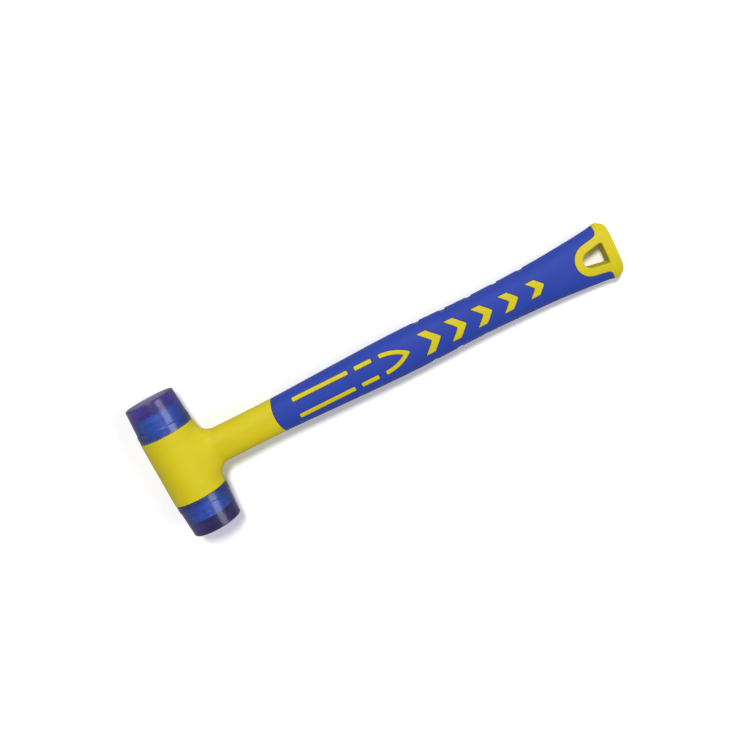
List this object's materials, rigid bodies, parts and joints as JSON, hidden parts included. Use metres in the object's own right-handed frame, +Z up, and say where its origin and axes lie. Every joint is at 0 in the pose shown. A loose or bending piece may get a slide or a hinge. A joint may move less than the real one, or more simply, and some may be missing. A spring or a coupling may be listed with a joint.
{
  "type": "dead blow mallet",
  "caption": "Double-faced dead blow mallet with screw-on translucent tips, a moulded head and neck, a rubber grip with inlaid arrows and a hanging hole.",
  "frame": {"origin": "centre of the outline seen from above, on the surface that the mallet lies on", "axes": "the mallet lies on its side: +X from the head to the butt of the handle, Y along the head from face to face, +Z up"},
  "size_m": [0.3428, 0.0978, 0.0387],
  "materials": {
    "yellow_plastic": "satin moulded nylon",
    "blue_rubber": "matte moulded grip rubber",
    "purple_plastic": "translucent, polished",
    "blue_plastic": "moulded, semi-gloss",
    "rod_steel": "drawn bar",
    "shot_steel": "ground balls"
  },
  "bodies": {
    "handle_and_head": {"body_moulding": "yellow_plastic", "grip_sleeve": "blue_rubber", "handle_rod": "rod_steel", "shot_canister": "blue_plastic", "canister_plug_left": "blue_plastic", "canister_plug_right": "blue_plastic"},
    "seal_left": {"seal_ring_left": "blue_plastic"},
    "tip_left": {"tip_left": "purple_plastic"},
    "seal_right": {"seal_ring_right": "blue_plastic"},
    "tip_right": {"tip_right": "purple_plastic"},
    "shot_charge": {"shot_01": "shot_steel", "shot_02": "shot_steel", "shot_03": "shot_steel", "shot_04": "shot_steel", "shot_05": "shot_steel", "shot_06": "shot_steel", "shot_07": "shot_steel", "shot_08": "shot_steel", "shot_09": "shot_steel", "shot_10": "shot_steel", "shot_11": "shot_steel", "shot_12": "shot_steel", "shot_13": "shot_steel", "shot_14": "shot_steel", "shot_15": "shot_steel", "shot_16": "shot_steel", "shot_17": "shot_steel", "shot_18": "shot_steel", "shot_19": "shot_steel", "shot_20": "shot_steel", "shot_21": "shot_steel", "shot_22": "shot_steel", "shot_23": "shot_steel", "shot_24": "shot_steel", "shot_25": "shot_steel", "shot_26": "shot_steel", "shot_27": "shot_steel"}
  },
  "joints": [
    {"name": "tip_left_advance", "type": "slide", "parent": "handle_and_head", "child": "seal_left", "axis": [0, 1, 0], "range_m": [0, 0.01205]},
    {"name": "tip_left_turn", "type": "hinge", "parent": "seal_left", "child": "tip_left", "pos_m": [-0.1521, 0.036, 0.0193], "axis": [0, 1, 0], "range_deg": [0, 1080]},
    {"name": "tip_right_advance", "type": "slide", "parent": "handle_and_head", "child": "seal_right", "axis": [0, -1, 0], "range_m": [0, 0.01205]},
    {"name": "tip_right_turn", "type": "hinge", "parent": "seal_right", "child": "tip_right", "pos_m": [-0.1521, -0.036, 0.0193], "axis": [0, -1, 0], "range_deg": [0, 1080]},
    {"name": "shot_run", "type": "slide", "parent": "handle_and_head", "child": "shot_charge", "axis": [0, 1, 0], "range_m": [-0.0062, 0.0062]}
  ],
  "couplings": [
    {"joint": "tip_left_advance", "follows": "tip_left_turn", "m_per_rad": 0.00063662},
    {"joint": "tip_right_advance", "follows": "tip_right_turn", "m_per_rad": 0.00063662}
  ]
}
